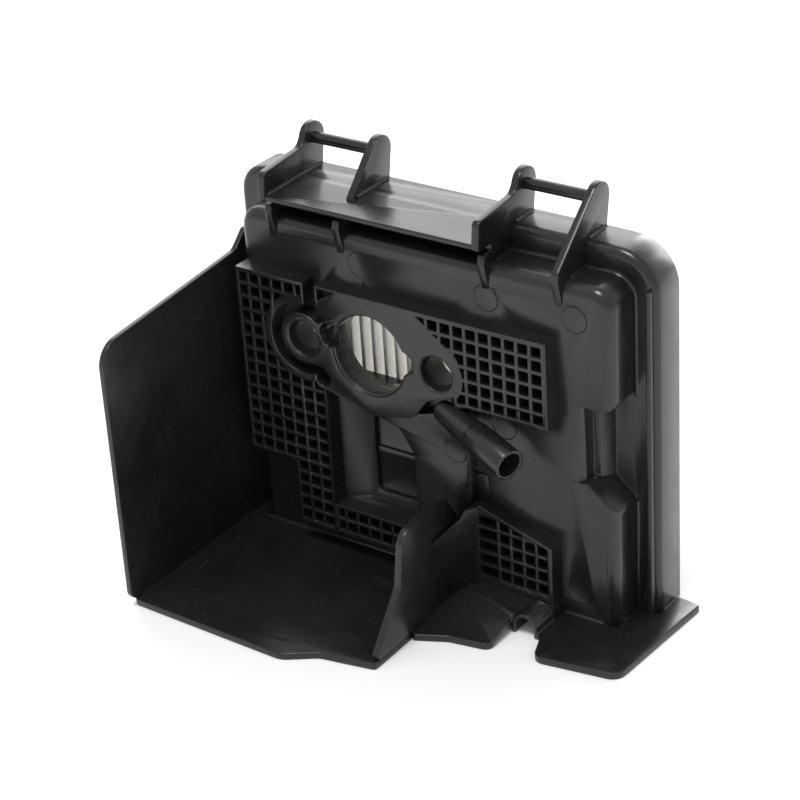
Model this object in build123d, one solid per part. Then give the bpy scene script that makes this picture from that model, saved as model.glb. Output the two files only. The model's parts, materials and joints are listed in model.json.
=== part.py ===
from build123d import *
import math
import os

# Air filter housing of a small engine, in millimetres.
# The origin is the centre of the intake bore on the face that meets the engine.
# X runs to the right seen from the engine, Y runs into the housing towards the
# filter side, Z is up. The engine side faces -Y, and the filter slides out to +Y.

# intake face and bolts
BOLT_SPACING = 42.5
BOLT_HOLE_R = 4.9
BOSS_R = 7.4
BORE_R = 11.2
TUBE_WALL = 1.5
BOSS_REAR_Y = 10.0
LOBE_R = 3.6
MOAT_OUTER_R = 10.5
PAD_R = 12.6

# main walls
FACE_Y = 0.0
WALL_Y = 5.1
WALL = 2.2
BODY_LEFT = -44.0
BODY_RIGHT = 71.0
BODY_TOP = 32.0
FLOOR_TOP = -64.2
FLOOR_BOTTOM = -66.2
BODY_CORNER_R = 6.0
BODY_EDGE_R = 3.2

# rim that carries the cover and the filter
RIM_LEFT = -51.8
RIM_RIGHT = 77.3
RIM_TOP = 38.6
RIM_FRONT_Y = 16.2
RIM_REAR_Y = 27.35
WEB_REAR_Y = RIM_FRONT_Y + 2.0
RIM_LEFT_R = 8.0
RIM_RIGHT_R = 12.0
RIM_FOOT_R = 2.0

# stiffening lattices
PITCH = 3.87
RIB = 0.95
LATTICE_LEFT = -42.5
LATTICE_RIGHT = 54.8
LATTICE_TOP = 16.7
RECESS_LEFT = -14.8
GRID_TOP = 15.95
GRID_LEFT = -42.37
GRID_RIGHT = 11.3
STRIP_TOP = -49.5
SLOT_LEFT = -20.1
SLOT_RIGHT = -16.35

# latch ears and their bars
EAR = 2.1
EAR_RIGHT_FACES = {"left_outer": -31.2, "left_inner": -9.3, "right_inner": 35.5, "right_outer": 56.9}
BAR_R = 1.6
BAR_Y = 24.4
BAR_Z = 46.9
EAR_TIP_R = 4.4
SHELF_FRONT_Y = 1.5
SHELF = 1.5

# plates around the carburettor space
SHIELD_INNER_X = -48.2
SHIELD = 1.6
SHIELD_FRONT_Y = -49.3
FIN_LEFT = 23.6
FIN_RIGHT = 25.7
FIN_WEB_RIGHT = 32.5
HOOD_FRONT_Y = -7.5
HOOD_X = 50.45
HOOD_Z = -63.7
HOOD_R = 4.0

# breather spout
SPOUT_ROOT = (22.9, 1.0, -10.9)
SPOUT_MOUTH = (48.2, -7.8, -15.2)
SPOUT_R = 4.25
SPOUT_ROOT_R = 3.0
SPOUT_STEP = 13.0
SPOUT_BORE_R = 3.3

# filter element
FILTER_GAP = 0.6
SEAL_FRONT_Y = 18.5
SEAL_REAR_Y = 25.8
SEAL_WIDTH = 9.0
SEAL_SIDE = 13.2
PLEAT_FRONT_Y = 14.8
PLEAT_REAR_Y = 26.6
PLEATS = 26
PAPER = 0.7

os.makedirs("parts", exist_ok=True)


def front_plane(y):
    """Sketch plane facing the engine: local x is X, local y is Z."""
    return Plane((0, y, 0), x_dir=(1, 0, 0), z_dir=(0, -1, 0))


def side_plane(x):
    """Sketch plane square to X: local x is Y, local y is Z."""
    return Plane((x, 0, 0), x_dir=(0, 1, 0), z_dir=(1, 0, 0))


def slab(face, y0, y1):
    """Thickness from y0 to y1 of a flat outline drawn in X and Z."""
    return extrude(front_plane(y1) * face, y1 - y0)


def upright(face, x0, x1):
    """Thickness from x0 to x1 of a flat outline drawn in Y and Z."""
    return extrude(side_plane(x0) * face, x1 - x0)


def sheet(face, z0, z1):
    """Thickness from z0 to z1 of a flat outline drawn in X and Y."""
    return extrude(Plane((0, 0, z0)) * face, z1 - z0)


def block(x0, x1, y0, y1, z0, z1):
    """Plain box between its limits."""
    return Pos((x0 + x1) / 2, (y0 + y1) / 2, (z0 + z1) / 2) * Box(x1 - x0, y1 - y0, z1 - z0)


def outline(*points):
    """Flat face with straight sides."""
    return make_face(Polyline(*points, close=True))


def rounded(radii, *points):
    """Flat face with straight sides and a corner radius for each point, 0 for a sharp one."""
    face = make_face(Polyline(*points, close=True))
    for radius, point in zip(radii, points):
        if radius > 0:
            corner = face.vertices().sort_by_distance((*point, 0))[0]
            face = fillet(corner, radius)
    return face


def rectangle(x0, x1, z0, z1):
    """Flat rectangle between its limits."""
    return outline((x0, z0), (x1, z0), (x1, z1), (x0, z1))


def disc(x, z, radius):
    """Flat disc."""
    return Pos(x, z) * Circle(radius)


def rod(x, z, radius, y0, y1):
    """Round bar along Y."""
    return slab(disc(x, z, radius), y0, y1)


def save(part, name):
    """Writes one sub-part under its own name."""
    part.label = name
    export_step(part, "parts/" + name + ".step")


bolt_x = BOLT_SPACING / 2


# ---------------------------------------------------------------- body shell
def body_outline(inset):
    """Outer outline of the body, moved inwards by inset."""
    corner = BODY_CORNER_R - inset
    left = BODY_LEFT + inset
    right = BODY_RIGHT - inset
    top = BODY_TOP - inset
    bottom = FLOOR_BOTTOM + inset
    return rounded((0, 0, corner, corner), (left, bottom), (right, bottom), (right, top), (left, top))


def side_recess(grow):
    """Finger recess in the right flank, or the thicker block that lines it."""
    plan = outline(
        (61.4 - grow, WALL_Y - 1),
        (61.4 - grow, 11.2 + grow),
        (63.4 - grow, 11.2 + grow),
        (65.2 - grow, RIM_FRONT_Y + grow),
        (BODY_RIGHT + 1, RIM_FRONT_Y + grow),
        (BODY_RIGHT + 1, WALL_Y - 1),
    )
    span = outline(
        (55, -1.1 + grow),
        (75, -1.1 + grow),
        (75, -33.5 - grow),
        (63, -23.4 - grow),
        (55, -23.4 - grow),
    )
    return sheet(plan, -50, 20) & slab(span, 0, 30)


recess_opening = rectangle(-17.0, 13.2, -53.3, -13.0)
flange_tubes = [(0.0, BORE_R + TUBE_WALL), (-bolt_x, BOSS_R), (bolt_x, BOSS_R)]
ejector_marks = [(-4.6, 23.2), (34.4, 22.8), (60.2, 22.8), (60.4, -55.9), (38.5, -13.1)]


def make_body():
    """Pan with an open back: front wall, flanks and roof."""
    outer = slab(body_outline(0), WALL_Y, WEB_REAR_Y) - side_recess(0)
    front_edges = outer.edges().filter_by_position(Axis.Y, WALL_Y, WALL_Y)
    soft = [e for e in front_edges if e.center().Z > FLOOR_BOTTOM + 1]
    flank_edges = outer.edges().filter_by_position(Axis.X, BODY_RIGHT, BODY_RIGHT)
    soft += [e for e in flank_edges if WALL_Y < e.center().Y < RIM_FRONT_Y - 0.1 and -40 < e.center().Z < 0]
    outer = fillet(soft, BODY_EDGE_R)
    hollow = slab(body_outline(WALL), WALL_Y + WALL, WEB_REAR_Y + 1)
    lining = side_recess(WALL - 0.2) & outer
    body = (outer - hollow) + lining
    body -= slab(recess_opening, WALL_Y - 1, WALL_Y + WALL + 1)
    for x, radius in flange_tubes:
        body -= rod(x, 0, radius, WALL_Y - 1, WALL_Y + WALL + 1)
    for x, z in ejector_marks:
        body -= rod(x, z, 3.6, WALL_Y - 1, WALL_Y + 0.12)
    return body


body_shell = make_body()


# ----------------------------------------------------------------------- rim
def rim_outline(inset):
    """Outer outline of the rim, moved inwards by inset."""
    left = RIM_LEFT + inset
    right = RIM_RIGHT - inset
    top = RIM_TOP - inset
    bottom = FLOOR_BOTTOM + inset
    foot = max(RIM_FOOT_R - inset, 0.4)
    radii = (foot, foot, RIM_RIGHT_R - inset, RIM_LEFT_R - inset)
    return rounded(radii, (left, bottom), (right, bottom), (right, top), (left, top))


def make_rim():
    """Ring that stands out all round the body and carries the cover."""
    ring = slab(rim_outline(0), RIM_FRONT_Y, RIM_REAR_Y)
    front_edges = ring.edges().filter_by_position(Axis.Y, RIM_FRONT_Y, RIM_FRONT_Y)
    soft = [e for e in front_edges if e.center().Z > FLOOR_BOTTOM + 3]
    ring = fillet(soft, 2.2)
    ring -= slab(rim_outline(WALL), WEB_REAR_Y, RIM_REAR_Y + 1)
    ring -= slab(body_outline(0), RIM_FRONT_Y - 1, WEB_REAR_Y + 1)
    return ring


rim_frame = make_rim()

guide_rib = block(74.7, 76.2, 14.4, RIM_FRONT_Y, FLOOR_TOP, 29.5)
guide_rib = fillet(guide_rib.edges().filter_by(Axis.Z).sort_by(Axis.Y)[:2], 0.5)


# -------------------------------------------------------------- intake face
moat_end = disc(-15.4, -10.6, 2.3)


def flange_outline():
    """Face that meets the carburettor: bore, two bosses and their webs."""
    web = rounded(
        (0.8, 3.0, 2.0, 1.5, 2.0, 2.0, 3.0, 4.0, 1.0),
        (SLOT_RIGHT, 12.0),
        (-8.8, LATTICE_TOP),
        (12.8, LATTICE_TOP),
        (27.6, 5.2),
        (25.5, -5.8),
        (18.0, -8.8),
        (13.3, -15.0),
        (0.5, -17.8),
        (-17.6, -12.6),
    )
    web -= disc(-bolt_x, 0, MOAT_OUTER_R) + moat_end
    face = web + disc(-bolt_x, 0, BOSS_R) + disc(bolt_x, 0, BOSS_R)
    face += outline((-bolt_x, 3), (-10, 9), (-10, -10.5), (-13.1, -10.5), (-14.1, -8.1), (-16, -7), (-20.9, -7.1))
    face -= disc(0, 0, BORE_R + TUBE_WALL)
    for side in (-bolt_x, bolt_x):
        face -= disc(side, 0, BOSS_R - 0.9)
    return face


def make_flange():
    """Raised plate around the bore, with the lobes beside it."""
    flange = slab(flange_outline(), FACE_Y, WALL_Y)
    corner = outline((SLOT_RIGHT, 11.9), (SLOT_RIGHT, LATTICE_TOP), (-8.4, LATTICE_TOP))
    flange += slab(corner, 3.0, WALL_Y)
    lips = rectangle(SLOT_RIGHT, SLOT_RIGHT + 0.8, 11.9, LATTICE_TOP)
    lips += rectangle(SLOT_RIGHT, -8.4, LATTICE_TOP - 0.8, LATTICE_TOP)
    flange += slab(lips & corner, FACE_Y, WALL_Y)
    flange -= rod(-11.9, 3.2, LOBE_R, FACE_Y - 1, 3.4)
    flange -= rod(10.9, 0.4, LOBE_R, FACE_Y - 1, 3.4)
    return flange


def make_intake_tube():
    """Short tube that lines the bore, flush with the wall of the filter bay."""
    tube = rod(0, 0, BORE_R + TUBE_WALL, FACE_Y, WALL_Y + WALL)
    tube -= rod(0, 0, BORE_R, FACE_Y - 1, WALL_Y + WALL + 1)
    tube -= rod(0, 0, BORE_R + 0.5, FACE_Y - 1, FACE_Y + 0.7)
    tube -= rod(-11.9, 3.2, LOBE_R, FACE_Y - 1, 3.4)
    tube -= rod(10.9, 0.4, LOBE_R, FACE_Y - 1, 3.4)
    return tube


def make_bolt_boss(x):
    """Tube that takes one mounting bolt."""
    boss = rod(x, 0, BOSS_R - 0.9, FACE_Y, WALL_Y)
    boss += rod(x, 0, BOSS_R, WALL_Y, BOSS_REAR_Y)
    boss -= rod(x, 0, BOLT_HOLE_R, FACE_Y - 1, BOSS_REAR_Y + 1)
    boss -= rod(x, 0, BOLT_HOLE_R + 0.35, FACE_Y - 1, FACE_Y + 0.35)
    return boss


# ------------------------------------------------------------ breather spout
spout_span = Vector(*SPOUT_MOUTH) - Vector(*SPOUT_ROOT)
spout_length = spout_span.length
spout_dir = spout_span.normalized()


def along_spout(distance):
    """Point on the spout's axis at a distance from its root."""
    return Vector(*SPOUT_ROOT) + spout_dir * distance


def spout_rod(radius, start, end):
    """Round bar along the spout's axis."""
    return extrude(Plane(along_spout(start), z_dir=spout_dir) * Circle(radius), end - start)


def make_spout():
    """Hose spout: tapered root, a parting step, and a blind breather bore."""
    taper = Cone(SPOUT_ROOT_R, SPOUT_R - 0.15, SPOUT_STEP)
    spout = Plane(along_spout(SPOUT_STEP / 2), z_dir=spout_dir) * taper
    spout += spout_rod(SPOUT_R, SPOUT_STEP, spout_length)
    spout += Pos(*SPOUT_ROOT) * Sphere(SPOUT_ROOT_R)
    spout -= spout_rod(SPOUT_BORE_R, 11, spout_length + 1)
    return spout


breather_spout = make_spout() - block(-5, 60, WALL_Y, 20, -40, 20)


# ------------------------------------------------------------------ lattices
def lattice(region, x0, z0, columns, rows, keep=None):
    """Rib grid: the region with a square cell cut at each pitch."""
    cell = PITCH - RIB
    cells = Sketch()
    for column in range(columns):
        for row in range(rows):
            x = x0 + PITCH * (column + 0.5)
            z = z0 - PITCH * (row + 0.5)
            cells += Pos(x, z) * RectangleRounded(cell, cell, 0.35)
    inner = offset(region, -RIB, kind=Kind.INTERSECTION)
    if keep is not None:
        inner -= keep
    return region - (cells & inner)


left_region = outline(
    (LATTICE_LEFT, LATTICE_TOP),
    (SLOT_LEFT, LATTICE_TOP),
    (SLOT_LEFT, 8.0),
    (RECESS_LEFT, -11.0),
    (RECESS_LEFT, -58.5),
    (-27.3, -58.5),
    (-27.3, -38.9),
    (LATTICE_LEFT, -38.9),
)


def make_lattice_left():
    """Grid left of the intake, wrapped round the left boss."""
    region = left_region - disc(-bolt_x, 0, MOAT_OUTER_R)
    region -= flange_outline() + moat_end
    pad = disc(-bolt_x, 0, PAD_R)
    grid = lattice(region, GRID_LEFT, GRID_TOP, 7, 19, keep=pad)
    return slab(grid, FACE_Y, WALL_Y)


def make_lattice_strip():
    """Two-row grid along the foot of the recess."""
    region = rectangle(RECESS_LEFT, FIN_LEFT, -58.5, STRIP_TOP)
    grid = lattice(region, GRID_LEFT + 7 * PITCH, GRID_TOP - 17 * PITCH, 10, 2)
    return slab(grid, FACE_Y, WALL_Y)


def make_lattice_right():
    """Grid right of the intake, cut along the web of the right boss."""
    region = outline(
        (12.8, LATTICE_TOP),
        (LATTICE_RIGHT, LATTICE_TOP),
        (LATTICE_RIGHT, -7.5),
        (30.0, -7.5),
        (26.6, -8.6),
        (26.6, -2.0),
        (18.0, 11.0),
        (12.8, 15.0),
    )
    region -= flange_outline() + disc(bolt_x, 0, BOSS_R)
    grid = lattice(region, GRID_RIGHT, GRID_TOP, 12, 6)
    return slab(grid, FACE_Y, WALL_Y)


def make_lattice_lower_right():
    """Grid right of the fin's web: sloping top edge, and open cells towards the web."""
    region = outline(
        (FIN_WEB_RIGHT, -59.5),
        (FIN_WEB_RIGHT, -35.9),
        (LATTICE_RIGHT, -42.6),
        (LATTICE_RIGHT, -59.5),
    )
    grid = lattice(region, GRID_RIGHT + 7 * PITCH, GRID_TOP - 14 * PITCH, 5, 5)
    first_rib = GRID_RIGHT + 7 * PITCH - RIB / 2
    for row in range(14, 19):
        z = GRID_TOP - row * PITCH
        grid -= rectangle(FIN_WEB_RIGHT - 1, first_rib, z - PITCH + RIB / 2, z - RIB / 2)
    return slab(grid, FACE_Y, WALL_Y)


# -------------------------------------------------- recess and pad beside it
def make_recess_tub():
    """Stepped pocket below the intake that clears the carburettor."""
    tub = slab(recess_opening, WALL_Y, 13.6)
    plan = outline((RECESS_LEFT, WALL_Y - 1), (RECESS_LEFT, WALL_Y), (-8.8, 8.6), (11.4, 8.6), (11.4, WALL_Y - 1))
    tub -= sheet(plan, STRIP_TOP, -14.8)
    tub -= slab(rectangle(-6.0, 11.4, -33.3, -14.8), WALL_Y, 10.7)
    tub -= slab(rectangle(-6.0, 11.4, -36.1, -33.3), WALL_Y, 9.8)
    floor = rounded((1.5, 0, 0, 0), (-6.0, -46.6), (11.4, -46.6), (11.4, -36.1), (-6.0, -36.1))
    tub -= slab(floor, WALL_Y, 10.3)
    return tub


def make_service_pad():
    """Flat pad under the intake, with a chamfered lower corner."""
    face = rounded(
        (0.5, 1.5, 0.5, 0, 0, 3.0, 0),
        (-0.5, -18.6),
        (7.2, -20.6),
        (11.6, -27.5),
        (11.4, STRIP_TOP),
        (18.9, STRIP_TOP),
        (28.9, -37.6),
        (29.3, -10.0),
    )
    pad = slab(face - flange_outline(), 2.0, WALL_Y)
    pad += slab(rectangle(29.0, 33.0, -35.6, -29.0), 4.4, WALL_Y)
    return pad - rod(25.0, -22.4, 3.4, FACE_Y, 2.12)


# -------------------------------------------------------- latch ears and bars
EAR_FOOT = [(3.3, 32.6, 0.8), (4.3, 28.4, 1.0), (WALL_Y, 25.4, 0), (RIM_REAR_Y, 25.4, 0), (RIM_REAR_Y, RIM_TOP, 0)]
UNDER_SHELF = [(10.4, RIM_TOP, 0), (10.4, RIM_TOP - SHELF, 0), (7.1, RIM_TOP - SHELF, 0), (6.8, 35.6, 0.4), (3.9, 35.1, 1.2)]
SIDE_WALL = [(18.6, 45.9, 3.0), (2.0, 44.8, 1.6), (1.1, RIM_TOP - SHELF, 0.6)] + UNDER_SHELF[2:] + EAR_FOOT
SLOPED = UNDER_SHELF + EAR_FOOT
LONG_SLOPE = [(3.6, 34.9, 1.4)] + EAR_FOOT
EAR_FRONTS = {"left_outer": SIDE_WALL, "left_inner": SLOPED, "right_inner": SIDE_WALL, "right_outer": LONG_SLOPE}


def ear_face(front):
    """Outline of one ear in Y and Z, from a front run of points with corner radii."""
    rear = (BAR_Y + EAR_TIP_R, BAR_Z, 0)
    lean = math.radians(165 if front[0][1] > RIM_TOP + 3 else 135)
    touch = (BAR_Y + EAR_TIP_R * math.cos(lean), BAR_Z + EAR_TIP_R * math.sin(lean), 0)
    points = [rear, touch, *front]
    face = rounded([p[2] for p in points], *[p[:2] for p in points])
    return face + disc(BAR_Y, BAR_Z, EAR_TIP_R)


def make_ear(place):
    """One latch ear, standing on the rim, the roof and the front wall."""
    right = EAR_RIGHT_FACES[place]
    ear = upright(ear_face(EAR_FRONTS[place]), right - EAR, right)
    filter_bay = slab(rim_outline(WALL), WEB_REAR_Y, RIM_REAR_Y + 1)
    filter_bay += slab(body_outline(WALL), WALL_Y + WALL, WEB_REAR_Y)
    return ear - rim_frame - body_shell - filter_bay


def make_bar(x0, x1):
    """Bar that a cover tab snaps over, with a moulding flat on each side."""
    bar = upright(disc(BAR_Y, BAR_Z, BAR_R), x0, x1)
    for y in (BAR_Y - BAR_R, BAR_Y + BAR_R):
        bar -= block(x0, x1, y - 0.18, y + 0.18, BAR_Z - 0.35, BAR_Z + 0.35)
    return bar


def make_shelf():
    """Rain shelf between the outer and inner ears, level with the rim."""
    x0 = EAR_RIGHT_FACES["left_outer"]
    x1 = EAR_RIGHT_FACES["right_inner"] - EAR
    shelf = block(x0, x1, SHELF_FRONT_Y, WEB_REAR_Y + 1, RIM_TOP - SHELF, RIM_TOP)
    shelf = fillet(shelf.edges().filter_by(Axis.X).sort_by(Axis.Y)[:2], 0.5)
    shelf -= rim_frame
    inner = EAR_RIGHT_FACES["left_inner"]
    return shelf - block(inner - EAR, inner, 10.4, 25, 30, 45)


# --------------------------------------------- shield, floors, fin and foot
def make_side_shield():
    """Left wall of the carburettor space, with its foot on the rim."""
    face = rounded(
        (0, 0, 1.2, 4.0, 7.0, 3.0),
        (RIM_FRONT_Y, FLOOR_TOP),
        (RIM_FRONT_Y, 21.5),
        (12.4, 21.5),
        (7.6, 16.9),
        (SHIELD_FRONT_Y + 0.8, 12.3),
        (SHIELD_FRONT_Y, FLOOR_TOP),
    )
    shield = upright(face, SHIELD_INNER_X - SHIELD, SHIELD_INNER_X)
    foot = block(SHIELD_INNER_X, BODY_LEFT, 12.4, RIM_FRONT_Y, FLOOR_TOP, 20.3)
    return shield + foot


def make_floor_tray():
    """Floor of the carburettor space, left of the fin."""
    left = SHIELD_INNER_X - SHIELD
    face = rounded(
        (0, 0, 0, 2.5, 6.0, 5.0, 1.0, 0),
        (BODY_LEFT, WALL_Y),
        (BODY_LEFT, RIM_FRONT_Y),
        (left, RIM_FRONT_Y),
        (left, -47.6),
        (1.5, -48.7),
        (10.0, -43.0),
        (FIN_RIGHT, -40.0),
        (FIN_RIGHT, WALL_Y),
    )
    return sheet(face, FLOOR_BOTTOM, FLOOR_TOP)


def make_bridge_floor():
    """Ramp right of the fin that ends in a closed hood."""
    side = outline(
        (WALL_Y, -59.5),
        (-2.0, -59.5),
        (-17.0, FLOOR_TOP),
        (-24.5, FLOOR_TOP),
        (-24.5, FLOOR_BOTTOM),
        (-17.0, FLOOR_BOTTOM),
        (-2.0, -61.5),
        (WALL_Y, -61.5),
    )
    plan = rounded(
        (0, 1.0, 3.0, 2.5, 0, 0, 0, 0, 0),
        (FIN_RIGHT, WALL_Y),
        (FIN_RIGHT, -24.4),
        (35.0, -20.0),
        (46.4, -18.0),
        (46.4, HOOD_FRONT_Y),
        (50.4, HOOD_FRONT_Y),
        (50.4, FACE_Y),
        (54.9, FACE_Y),
        (54.9, WALL_Y),
    )
    ramp = upright(side, FIN_RIGHT, 55.0) & sheet(plan, FLOOR_BOTTOM, -50)
    arch = rectangle(46.45, 54.45, FLOOR_BOTTOM, HOOD_Z) + rectangle(54.0, 54.9, FLOOR_BOTTOM, FLOOR_TOP)
    arch += disc(HOOD_X, HOOD_Z, HOOD_R) & rectangle(40, 60, FLOOR_BOTTOM, -50)
    hollow = rectangle(HOOD_X - HOOD_R + 1.1, HOOD_X + HOOD_R - 1.1, FLOOR_BOTTOM - 1, HOOD_Z)
    hollow += disc(HOOD_X, HOOD_Z, HOOD_R - 1.1)
    tunnel = slab(hollow, HOOD_FRONT_Y - 1, FACE_Y - 1.5)
    ramp += block(53.9, 54.9, FACE_Y, WALL_Y, FLOOR_BOTTOM, -60.5)
    return (ramp + slab(arch, HOOD_FRONT_Y, FACE_Y)) - tunnel


bridge_floor = make_bridge_floor()

fin_web_outline = outline(
    (FIN_RIGHT, FLOOR_TOP),
    (FIN_WEB_RIGHT, FLOOR_TOP),
    (FIN_WEB_RIGHT, -36.4),
    (30.2, -36.4),
    (29.6, -38.6),
    (FIN_RIGHT, -43.2),
)


def make_fin():
    """Wall between the carburettor space and the bridge floor."""
    face = rounded(
        (0, 1.0, 2.5, 5.0, 7.0, 0, 0),
        (FACE_Y, FLOOR_TOP),
        (-39.4, FLOOR_TOP),
        (-27.0, -48.5),
        (-24.6, -33.8),
        (-5.6, -31.6),
        (FACE_Y, -40.5),
        (FACE_Y, -43.0),
    )
    fin = upright(face, FIN_LEFT, FIN_RIGHT)
    fin += block(FIN_LEFT, FIN_RIGHT, FACE_Y, WALL_Y, FLOOR_TOP, -50.3)
    web_plan = outline((FIN_RIGHT, -14), (27.5, -7), (FIN_WEB_RIGHT, 0), (FIN_WEB_RIGHT, WALL_Y), (FIN_RIGHT, WALL_Y))
    web = sheet(web_plan, FLOOR_TOP, -30) & slab(fin_web_outline, -20, WALL_Y)
    return fin + (web - bridge_floor)


def make_foot_plate():
    """Flat foot on the right that the housing rests on."""
    face = rounded(
        (0, 1.5, 3.0, 4.0, 0.8, 0.5, 0, 0, 0, 0),
        (54.9, WALL_Y),
        (55.2, -7.0),
        (58.8, -16.6),
        (81.9, -13.0),
        (84.4, 25.2),
        (77.9, 25.9),
        (RIM_RIGHT, 25.0),
        (RIM_RIGHT, RIM_FRONT_Y),
        (BODY_RIGHT, RIM_FRONT_Y),
        (BODY_RIGHT, WALL_Y),
    )
    return sheet(face, FLOOR_BOTTOM, FLOOR_TOP)


# ------------------------------------------------------------ filter element
SEAL_LEFT = RIM_LEFT + WALL + FILTER_GAP
SEAL_RIGHT = RIM_RIGHT - WALL - FILTER_GAP
SEAL_BOTTOM = FLOOR_BOTTOM + WALL + FILTER_GAP
SEAL_TOP = RIM_TOP - WALL - FILTER_GAP
PACK_LEFT = SEAL_LEFT + SEAL_SIDE
PACK_RIGHT = SEAL_RIGHT - SEAL_SIDE
PACK_BOTTOM = SEAL_BOTTOM + SEAL_WIDTH
PACK_TOP = SEAL_TOP - SEAL_WIDTH


def make_filter_seal():
    """Moulded sealing frame that sits in the rim."""
    face = rounded(
        (3.0, 3.0, 10.0, 6.5),
        (SEAL_LEFT, SEAL_BOTTOM),
        (SEAL_RIGHT, SEAL_BOTTOM),
        (SEAL_RIGHT, SEAL_TOP),
        (SEAL_LEFT, SEAL_TOP),
    )
    frame = slab(face, SEAL_FRONT_Y, SEAL_REAR_Y)
    frame = fillet(frame.edges().filter_by_position(Axis.Y, SEAL_REAR_Y, SEAL_REAR_Y), 1.2)
    return frame - block(PACK_LEFT, PACK_RIGHT, SEAL_FRONT_Y - 1, SEAL_REAR_Y + 1, PACK_BOTTOM, PACK_TOP)


def make_filter_paper():
    """Pleated paper pack: one folded sheet of even thickness."""
    half = (PACK_RIGHT - PACK_LEFT) / PLEATS / 2
    ridge = []
    back = []
    for fold in range(2 * PLEATS + 1):
        x = PACK_LEFT + half * fold
        front = fold % 2 == 0
        ridge.append((x, PLEAT_FRONT_Y if front else PLEAT_REAR_Y - 2 * PAPER))
        back.append((x, PLEAT_FRONT_Y + 2 * PAPER if front else PLEAT_REAR_Y))
    return sheet(outline(*ridge, *reversed(back)), PACK_BOTTOM, PACK_TOP)


save(body_shell, "body_shell")
save(rim_frame, "rim_frame")
save(guide_rib, "cover_guide_rib")
save(make_flange(), "intake_flange")
save(make_intake_tube(), "intake_tube")
save(make_bolt_boss(-bolt_x), "bolt_boss_left")
save(make_bolt_boss(bolt_x), "bolt_boss_right")
save(breather_spout - make_flange() - slab(rectangle(-0.5, 29.4, -50, -10), 2.0, WALL_Y), "breather_spout")
save(make_lattice_left(), "lattice_left")
save(make_lattice_strip(), "lattice_strip")
save(make_lattice_right(), "lattice_right")
save(make_lattice_lower_right(), "lattice_lower_right")
save(make_recess_tub(), "recess_tub")
save(make_service_pad(), "service_pad")
for place in EAR_RIGHT_FACES:
    save(make_ear(place), "latch_ear_" + place)
save(make_bar(EAR_RIGHT_FACES["left_outer"], EAR_RIGHT_FACES["left_inner"] - EAR), "latch_bar_left")
save(make_bar(EAR_RIGHT_FACES["right_inner"], EAR_RIGHT_FACES["right_outer"] - EAR), "latch_bar_right")
save(make_shelf(), "rain_shelf")
save(make_side_shield(), "side_shield")
save(make_floor_tray(), "floor_tray")
save(make_fin(), "divider_fin")
save(bridge_floor, "bridge_floor")
save(make_foot_plate(), "foot_plate")
save(make_filter_seal(), "filter_seal")
save(make_filter_paper(), "filter_paper")
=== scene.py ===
import json
import math

import bmesh
import bpy
from mathutils import Matrix, Vector
from mathutils.bvhtree import BVHTree


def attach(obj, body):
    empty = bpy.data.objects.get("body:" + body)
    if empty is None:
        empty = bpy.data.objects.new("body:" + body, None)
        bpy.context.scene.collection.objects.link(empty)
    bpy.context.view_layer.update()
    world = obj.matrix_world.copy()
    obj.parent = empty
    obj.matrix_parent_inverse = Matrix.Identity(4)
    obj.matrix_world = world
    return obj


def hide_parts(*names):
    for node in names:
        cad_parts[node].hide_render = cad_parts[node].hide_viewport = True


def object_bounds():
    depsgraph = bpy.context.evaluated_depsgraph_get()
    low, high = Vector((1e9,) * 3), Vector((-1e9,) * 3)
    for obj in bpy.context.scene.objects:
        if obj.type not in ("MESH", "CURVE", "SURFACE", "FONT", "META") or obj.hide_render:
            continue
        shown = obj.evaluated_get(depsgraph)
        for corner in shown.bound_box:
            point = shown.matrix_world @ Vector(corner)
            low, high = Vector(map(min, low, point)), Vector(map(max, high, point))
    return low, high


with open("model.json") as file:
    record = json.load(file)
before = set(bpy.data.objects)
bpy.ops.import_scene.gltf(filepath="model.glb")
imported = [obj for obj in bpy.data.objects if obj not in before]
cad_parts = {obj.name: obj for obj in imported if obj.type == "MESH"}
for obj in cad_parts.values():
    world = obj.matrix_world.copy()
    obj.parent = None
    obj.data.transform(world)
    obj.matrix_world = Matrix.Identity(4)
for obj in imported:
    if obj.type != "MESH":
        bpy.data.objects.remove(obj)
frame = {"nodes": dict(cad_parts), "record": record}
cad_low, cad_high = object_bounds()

MM = 0.001
scene = bpy.context.scene

# ------------------------------------------------------------------ node tools


def new_material(name):
    """Node material, with its tree, Principled shader and object-space position."""
    material = bpy.data.materials.new(name)
    material.use_nodes = True
    tree = material.node_tree
    shader = tree.nodes["Principled BSDF"]
    place = tree.nodes.new("ShaderNodeTexCoord").outputs["Object"]
    return material, tree, shader, place


def socket(node, name, value):
    """Sets one input, or links it when the value is another node's output."""
    if isinstance(value, bpy.types.NodeSocket):
        node.id_data.links.new(value, node.inputs[name])
    else:
        node.inputs[name].default_value = value


def stretched(tree, place, scale, turn=(0, 0, 0)):
    """The position turned and scaled, so that a texture follows a direction."""
    node = tree.nodes.new("ShaderNodeMapping")
    socket(node, "Vector", place)
    node.inputs["Scale"].default_value = scale
    node.inputs["Rotation"].default_value = turn
    return node.outputs[0]


def noise(tree, place, scale, detail=3.0, rough=0.5):
    """Cloudy noise with so many features per metre."""
    node = tree.nodes.new("ShaderNodeTexNoise")
    socket(node, "Vector", place)
    node.inputs["Scale"].default_value = scale
    node.inputs["Detail"].default_value = detail
    node.inputs["Roughness"].default_value = rough
    return node.outputs[0]


def cells(tree, place, scale):
    """Distance from the nearest point of a scattered pattern."""
    node = tree.nodes.new("ShaderNodeTexVoronoi")
    socket(node, "Vector", place)
    node.inputs["Scale"].default_value = scale
    return node.outputs["Distance"]


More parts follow.
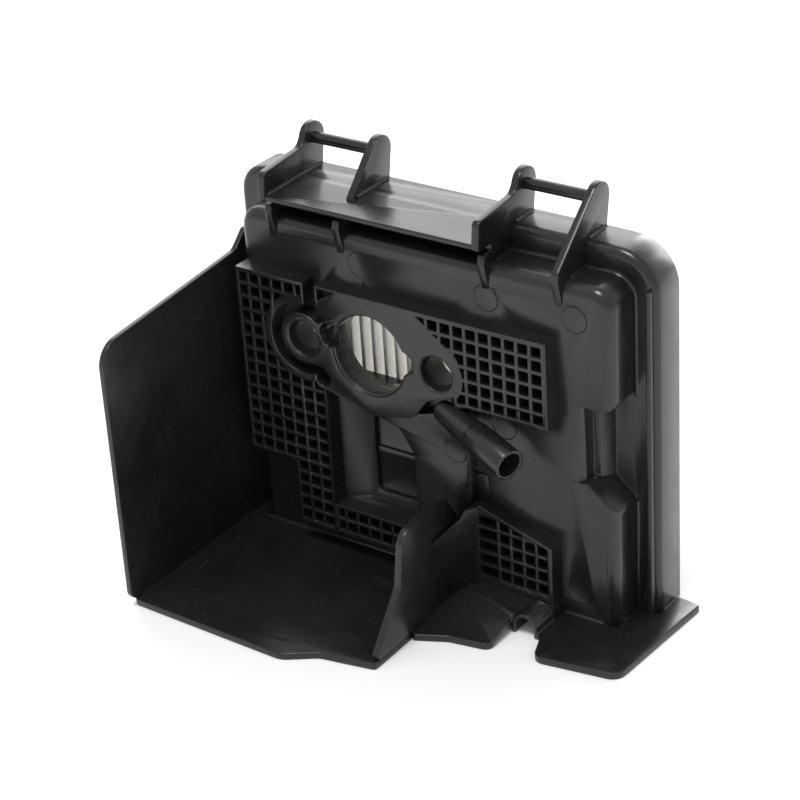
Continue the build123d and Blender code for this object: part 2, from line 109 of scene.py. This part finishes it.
def remap(tree, value, low, high, to_low=0.0, to_high=1.0):
    """A value between low and high brought to another span, and clamped."""
    node = tree.nodes.new("ShaderNodeMapRange")
    socket(node, "Value", value)
    limits = {"From Min": low, "From Max": high, "To Min": to_low, "To Max": to_high}
    for name, number in limits.items():
        socket(node, name, number)
    return node.outputs[0]


def combine(tree, operation, a, b):
    """Arithmetic on two values."""
    node = tree.nodes.new("ShaderNodeMath")
    node.operation = operation
    for index, value in enumerate((a, b)):
        if isinstance(value, bpy.types.NodeSocket):
            tree.links.new(value, node.inputs[index])
        else:
            node.inputs[index].default_value = value
    return node.outputs[0]


def blend_colour(tree, factor, a, b):
    """Mix of two colours."""
    node = tree.nodes.new("ShaderNodeMix")
    node.data_type = "RGBA"
    socket(node, "Factor", factor)
    for index, colour in ((6, a), (7, b)):
        if isinstance(colour, bpy.types.NodeSocket):
            tree.links.new(colour, node.inputs[index])
        else:
            node.inputs[index].default_value = (*colour, 1.0)
    return node.outputs[2]


def bump(tree, height, distance, strength=1.0, before=None):
    """Bump from a height, on top of an earlier one."""
    node = tree.nodes.new("ShaderNodeBump")
    socket(node, "Height", height)
    node.inputs["Distance"].default_value = distance
    node.inputs["Strength"].default_value = strength
    if before is not None:
        tree.links.new(before, node.inputs["Normal"])
    return node.outputs[0]


# ------------------------------------------------------------------- materials
PLASTIC_DARK = (0.0082, 0.0080, 0.0084)
PLASTIC_LIGHT = (0.0138, 0.0134, 0.0138)
PLASTIC_ROUGHNESS = (0.19, 0.33)
MARK_COLOUR = (0.16, 0.16, 0.155)
DUST_COLOUR = (0.34, 0.33, 0.31)
PAPER_DARK = (0.88, 0.865, 0.82)
PAPER_LIGHT = (0.96, 0.955, 0.93)
PAPER_MOTTLE = (0.80, 0.78, 0.72)
FOAM_DARK = (0.030, 0.031, 0.033)
FOAM_LIGHT = (0.060, 0.060, 0.061)
# near-black pore colour: painted shade inside the foam's pores
FOAM_PORE_PAINTED_SHADE = (0.008, 0.008, 0.008)


def facing_up(tree):
    """How far a surface faces up, from 0 to 1."""
    normal = tree.nodes.new("ShaderNodeNewGeometry").outputs["Normal"]
    split = tree.nodes.new("ShaderNodeSeparateXYZ")
    tree.links.new(normal, split.inputs[0])
    return remap(tree, split.outputs["Z"], 0.2, 0.9)


def scratches(tree, place, turn, density):
    """Thin short lines that run one way."""
    along = stretched(tree, place, (9000.0, 260.0, 9000.0), turn)
    lines = noise(tree, along, 1.0, 1.0, 0.4)
    patches = noise(tree, place, 90.0, 2.0)
    line = remap(tree, lines, 0.72, 0.76)
    patch = remap(tree, patches, 0.62 - density, 0.70 - density)
    return combine(tree, "MULTIPLY", line, patch)


def black_plastic():
    """Black moulded polypropylene: satin, faintly wavy, with dust and handling marks."""
    material, tree, shader, place = new_material("black_moulding")
    broad = noise(tree, place, 38.0, 3.0)
    grain = noise(tree, place, 5200.0, 2.0, 0.6)
    wiped = stretched(tree, place, (40.0, 160.0, 90.0), (0.3, 0.5, 0.8))
    smear = noise(tree, wiped, 1.0, 4.0, 0.6)
    dust_points = remap(tree, cells(tree, place, 620.0), 0.075, 0.055)
    dust_patch = remap(tree, noise(tree, place, 150.0, 2.0), 0.5, 0.62)
    dust = combine(tree, "MULTIPLY", dust_points, dust_patch)
    lying = remap(tree, facing_up(tree), 0.0, 1.0, 0.35, 1.0)
    dust = combine(tree, "MULTIPLY", dust, lying)
    marks = scratches(tree, place, (0.4, 0.2, 0.9), 0.06)
    marks = combine(tree, "MAXIMUM", marks, scratches(tree, place, (1.3, 0.5, -0.6), 0.03))
    tone = remap(tree, broad, 0.35, 0.7)
    colour = blend_colour(tree, tone, PLASTIC_DARK, PLASTIC_LIGHT)
    shown = combine(tree, "MULTIPLY", marks, 0.45)
    colour = blend_colour(tree, shown, colour, MARK_COLOUR)
    shown = combine(tree, "MULTIPLY", dust, 0.7)
    colour = blend_colour(tree, shown, colour, DUST_COLOUR)
    tree.links.new(colour, shader.inputs["Base Color"])
    rough = remap(tree, smear, 0.3, 0.75, *PLASTIC_ROUGHNESS)
    rough = combine(tree, "ADD", rough, combine(tree, "MULTIPLY", marks, 0.15))
    rough = combine(tree, "ADD", rough, combine(tree, "MULTIPLY", dust, 0.3))
    tree.links.new(rough, shader.inputs["Roughness"])
    waves = bump(tree, noise(tree, place, 55.0, 2.0), 0.35 * MM, 0.35)
    pores = bump(tree, grain, 0.012 * MM, 0.5, waves)
    specks = bump(tree, dust, 0.05 * MM, 0.6, pores)
    tree.links.new(specks, shader.inputs["Normal"])
    shader.inputs["IOR"].default_value = 1.5
    return material


def filter_paper_material():
    """Pale pleated fibre paper that lets light through."""
    material, tree, shader, place = new_material("filter_paper_fibre")
    along = stretched(tree, place, (900.0, 900.0, 3200.0))
    fibres = noise(tree, along, 1.0, 4.0, 0.65)
    mottle = noise(tree, place, 420.0, 3.0)
    tone = remap(tree, fibres, 0.3, 0.7)
    colour = blend_colour(tree, tone, PAPER_DARK, PAPER_LIGHT)
    tone = remap(tree, mottle, 0.45, 0.75, 0.0, 0.25)
    colour = blend_colour(tree, tone, colour, PAPER_MOTTLE)
    tree.links.new(colour, shader.inputs["Base Color"])
    shader.inputs["Roughness"].default_value = 0.9
    shader.inputs["Subsurface Weight"].default_value = 1.0
    shader.inputs["Subsurface Radius"].default_value = (1.0, 0.95, 0.85)
    shader.inputs["Subsurface Scale"].default_value = 6.0 * MM
    tree.links.new(bump(tree, fibres, 0.04 * MM, 0.5), shader.inputs["Normal"])
    return material


def seal_material():
    """Dark foamed rubber with open pores; the pore spots are darkened as painted shade inside
    the pores.
    """
    material, tree, shader, place = new_material("filter_seal_foam")
    pores = cells(tree, place, 1500.0)
    mottle = noise(tree, place, 300.0, 4.0)
    tone = remap(tree, mottle, 0.3, 0.7)
    colour = blend_colour(tree, tone, FOAM_DARK, FOAM_LIGHT)
    # Painted shade: the pore spots are darkened towards the near-black pore colour, standing for
    # shade inside the pores.
    tone = remap(tree, pores, 0.30, 0.12, 0.0, 0.7)
    colour = blend_colour(tree, tone, colour, FOAM_PORE_PAINTED_SHADE)
    tree.links.new(colour, shader.inputs["Base Color"])
    rough = remap(tree, mottle, 0.3, 0.7, 0.68, 0.86)
    tree.links.new(rough, shader.inputs["Roughness"])
    tree.links.new(bump(tree, pores, 0.12 * MM, 0.6), shader.inputs["Normal"])
    return material


plastic = black_plastic()
paper = filter_paper_material()
foam = seal_material()

# -------------------------------------------------- moulded pieces, soft edges
HOUSING = frame["record"]["behaviour"]["bodies"]["housing"]
SHARP = math.radians(28)
CREASE = math.radians(35)
CONTACT = 0.08 * MM
PLAIN_RADIUS = 0.22 * MM
EDGE_RADIUS = {
    "lattice": 0.10 * MM,
    "breather_spout": 0.15 * MM,
    "latch_bar": 0.08 * MM,
}


def mesh_of(node):
    """Edit mesh of a CAD node with flat areas merged back into single faces."""
    work = bmesh.new()
    work.from_mesh(frame["nodes"][node].data)
    bmesh.ops.remove_doubles(work, verts=work.verts, dist=0.002 * MM)
    flat = math.radians(0.3)
    bmesh.ops.dissolve_limit(work, angle_limit=flat, verts=work.verts, edges=work.edges)
    return work


def touches(trees, node, point):
    """Whether another piece of the moulding has its surface at this point."""
    for other, tree in trees.items():
        if other != node:
            found = tree.find_nearest(point, CONTACT)
            if found[0] is not None:
                return True
    return False


def soften(node, work, trees):
    """Marks the open sharp edges for a small radius, but not the joins between pieces."""
    weight = work.edges.layers.float.new("bevel_weight_edge")
    for edge in work.edges:
        if len(edge.link_faces) != 2 or edge.calc_face_angle(0.0) < SHARP:
            continue
        a, b = (v.co for v in edge.verts)
        if not any(touches(trees, node, a.lerp(b, t)) for t in (0.08, 0.5, 0.92)):
            edge[weight] = 1.0


def moulded_piece(node, trees):
    """Detailed piece with soft edges that stands for one CAD node of the moulding."""
    work = mesh_of(node)
    soften(node, work, trees)
    mesh = bpy.data.meshes.new(node + "_moulded")
    work.to_mesh(mesh)
    work.free()
    piece = bpy.data.objects.new(node + "_moulded", mesh)
    scene.collection.objects.link(piece)
    for face in mesh.polygons:
        face.use_smooth = True
    radius = PLAIN_RADIUS
    for key, value in EDGE_RADIUS.items():
        if node.startswith(key):
            radius = value
    edge_round = piece.modifiers.new("edges", "BEVEL")
    edge_round.limit_method = "WEIGHT"
    edge_round.offset_type = "OFFSET"
    edge_round.width = radius
    edge_round.segments = 2
    edge_round.use_clamp_overlap = False
    edge_round.miter_outer = "MITER_ARC"
    mesh.materials.append(plastic)
    return piece


def smooth_by_angle(piece):
    """Applies the modifiers, and keeps edges sharper than the limit crisp."""
    graph = bpy.context.evaluated_depsgraph_get()
    made = bpy.data.meshes.new_from_object(piece.evaluated_get(graph))
    piece.modifiers.clear()
    piece.data = made
    made.set_sharp_from_angle(angle=CREASE)


trees = {}
for node in HOUSING:
    shape = bmesh.new()
    shape.from_mesh(frame["nodes"][node].data)
    trees[node] = BVHTree.FromBMesh(shape)
    shape.free()
for node in HOUSING:
    piece = moulded_piece(node, trees)
    smooth_by_angle(piece)
    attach(piece, "housing")
    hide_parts(node)

# ------------------------------------------- fillets where pieces meet, in mm
TOP = 38.6  # top of the rim
ROOF = 32.0  # top of the body
FLANK = 71.0  # right side of the body
WALL = 5.1  # front wall
GROUND = -64.2  # top of the tray, ramp and foot
RIM_FACE = 16.2  # front face of the rim
CORNER_RADIUS = 6.0  # the body's rounded top right corner
CORNER_STEPS = 12
RIGHT, LEFT, AHEAD, UP = (1, 0, 0), (-1, 0, 0), (0, -1, 0), (0, 0, 1)


def straight(start, end, away, up, radius):
    """Fillet along a straight inner corner."""
    return [(start, away, up), (end, away, up)], radius


def corner_run():
    """Inner corner between the rim's face and the body: roof, rounded corner and right flank."""
    run = [((-38.0, RIM_FACE, ROOF), UP, AHEAD)]
    for step in range(CORNER_STEPS + 1):
        angle = math.radians(90 - 90 / CORNER_STEPS * step)
        out = (math.cos(angle), 0.0, math.sin(angle))
        x = FLANK - CORNER_RADIUS + CORNER_RADIUS * out[0]
        z = ROOF - CORNER_RADIUS + CORNER_RADIUS * out[2]
        run.append(((x, RIM_FACE, z), out, AHEAD))
    run.append(((FLANK, RIM_FACE, -0.8), RIGHT, AHEAD))
    return run, 0.8


fillets = [
    corner_run(),
    straight((FLANK, RIM_FACE, -31.5), (FLANK, RIM_FACE, GROUND), RIGHT, AHEAD, 0.8),
]
EAR_SIDES = (
    (-33.3, LEFT, 18.6), (-31.2, RIGHT, 2.4),
    (-11.4, LEFT, 12.2), (-9.3, RIGHT, 12.2),
    (33.4, LEFT, 2.4), (35.5, RIGHT, 18.6),
    (54.8, LEFT, 18.6), (56.9, RIGHT, 18.6),
)
for x, away, front in EAR_SIDES:
    fillets.append(straight((x, front, TOP), (x, 26.9, TOP), away, UP, 0.7))
    fillets.append(straight((x, 8.8, ROOF), (x, RIM_FACE, ROOF), away, UP, 0.8))
fillets += [
    straight((-44.0, WALL, GROUND), (23.6, WALL, GROUND), AHEAD, UP, 0.8),
    straight((55.2, WALL, GROUND), (67.0, WALL, GROUND), AHEAD, UP, 0.8),
    straight((FLANK, 8.8, GROUND), (FLANK, RIM_FACE, GROUND), RIGHT, UP, 0.8),
    straight((77.3, 18.6, GROUND), (77.3, 24.8, GROUND), RIGHT, UP, 0.7),
    straight((23.6, 0.0, GROUND), (23.6, -37.5, GROUND), LEFT, UP, 0.9),
    straight((-48.2, 12.0, GROUND), (-48.2, -45.5, GROUND), RIGHT, UP, 0.9),
]


FILLET_STEPS = 6
BURIED = 0.05  # how far a fillet's back edge goes into the corner


def add_fillet(work, run, radius):
    """Adds one concave quarter round along an inner corner."""
    rings = []
    for place, away, up in run:
        place, away, up = (Vector(v) for v in (place, away, up))
        middle = place + (away + up) * radius
        ring = [place - (away + up) * BURIED]
        for step in range(FILLET_STEPS + 1):
            angle = math.radians(90 * step / FILLET_STEPS)
            ring.append(middle - (up * math.cos(angle) + away * math.sin(angle)) * radius)
        rings.append([work.verts.new(v * MM) for v in ring])
    for a, b in zip(rings, rings[1:]):
        for i in range(len(a)):
            j = (i + 1) % len(a)
            work.faces.new((a[i], a[j], b[j], b[i]))
    work.faces.new(rings[0])
    work.faces.new(rings[-1])


def make_fillets():
    """One object with every fillet between pieces of the moulding."""
    work = bmesh.new()
    for run, radius in fillets:
        add_fillet(work, run, radius)
    bmesh.ops.recalc_face_normals(work, faces=work.faces)
    mesh = bpy.data.meshes.new("moulded_fillets")
    work.to_mesh(mesh)
    work.free()
    for face in mesh.polygons:
        face.use_smooth = True
    mesh.set_sharp_from_angle(angle=CREASE)
    mesh.materials.append(plastic)
    piece = bpy.data.objects.new("moulded_fillets", mesh)
    scene.collection.objects.link(piece)
    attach(piece, "housing")


make_fillets()

# --------------------------------------------------------------- filter pieces
for node, material in (("filter_paper", paper), ("filter_seal", foam)):
    carried = frame["nodes"][node]
    carried.data.materials.clear()
    carried.data.materials.append(material)

# ----------------------------------------------------------------------- stage
FLOOR_Z = cad_low.z
FLOOR_HALF = 6.0
GLOW_DIRECTION = (-0.525, 0.704, 0.477)


def make_floor():
    """Pale floor that reaches past the camera's view."""
    mesh = bpy.data.meshes.new("floor")
    corners = [(-1, -1), (1, -1), (1, 1), (-1, 1)]
    points = [(x * FLOOR_HALF, y * FLOOR_HALF, FLOOR_Z) for x, y in corners]
    mesh.from_pydata(points, [], [(0, 1, 2, 3)])
    floor = bpy.data.objects.new("floor", mesh)
    scene.collection.objects.link(floor)
    material, tree, shader, place = new_material("pale_floor")
    tone = remap(tree, noise(tree, place, 3.0, 2.0), 0.3, 0.7, 0.90, 0.93)
    mixed = tree.nodes.new("ShaderNodeCombineColor")
    for channel in ("Red", "Green", "Blue"):
        socket(mixed, channel, tone)
    tree.links.new(mixed.outputs[0], shader.inputs["Base Color"])
    shader.inputs["Roughness"].default_value = 0.9
    shader.inputs["Specular IOR Level"].default_value = 0.1
    mesh.materials.append(material)


def area_light(name, place, target, width, height, power):
    """Soft box that faces a target."""
    data = bpy.data.lights.new(name, "AREA")
    data.shape = "RECTANGLE"
    data.size = width
    data.size_y = height
    data.energy = power
    light = bpy.data.objects.new(name, data)
    scene.collection.objects.link(light)
    light.visible_camera = False
    light.location = place
    light.rotation_mode = "QUATERNION"
    light.rotation_quaternion = (Vector(target) - Vector(place)).to_track_quat("-Z", "Y")


def make_world():
    """White studio surround with a brighter panel at the back left."""
    world = bpy.data.worlds.new("studio")
    scene.world = world
    world.use_nodes = True
    tree = world.node_tree
    shade = tree.nodes["Background"]
    direction = tree.nodes.new("ShaderNodeTexCoord").outputs["Generated"]
    towards = tree.nodes.new("ShaderNodeVectorMath")
    towards.operation = "DOT_PRODUCT"
    tree.links.new(direction, towards.inputs[0])
    towards.inputs[1].default_value = Vector(GLOW_DIRECTION).normalized()
    glow = remap(tree, towards.outputs["Value"], 0.84, 0.97, 0.78, 3.2)
    tree.links.new(glow, shade.inputs["Strength"])
    shade.inputs["Color"].default_value = (1.0, 1.0, 1.0, 1.0)


make_floor()
make_world()
area_light("overhead", (0.0, -0.35, 1.1), (0.0, 0.0, 0.0), 0.34, 0.26, 7.0)
area_light("back", (0.05, 0.85, 0.18), (0.01, 0.02, 0.0), 0.6, 0.4, 5.0)

# ---------------------------------------------------------------------- camera
CAMERA_PLACE = Vector((331.55, -431.88, 282.33)) * MM
CAMERA_RIGHT = (0.818825, 0.571072, -0.058322)
CAMERA_DOWN = (0.231596, -0.421606, -0.876705)
CAMERA_FORWARD = (-0.525250, 0.704361, -0.477480)
LENS_PIXELS = 2349.0
PICTURE_PIXELS = 800.0

SENSOR_WIDTH = 36.0

lens = bpy.data.cameras.new("camera")
lens.sensor_width = SENSOR_WIDTH
lens.lens = SENSOR_WIDTH * LENS_PIXELS / PICTURE_PIXELS
lens.clip_start = 0.01
lens.clip_end = 50.0
camera = bpy.data.objects.new("camera", lens)
scene.collection.objects.link(camera)
columns = [CAMERA_RIGHT, [-v for v in CAMERA_DOWN], [-v for v in CAMERA_FORWARD]]
turn = Matrix(columns).transposed()
camera.matrix_world = Matrix.Translation(CAMERA_PLACE) @ turn.to_4x4()
scene.camera = camera
scene.view_settings.view_transform = "Standard"
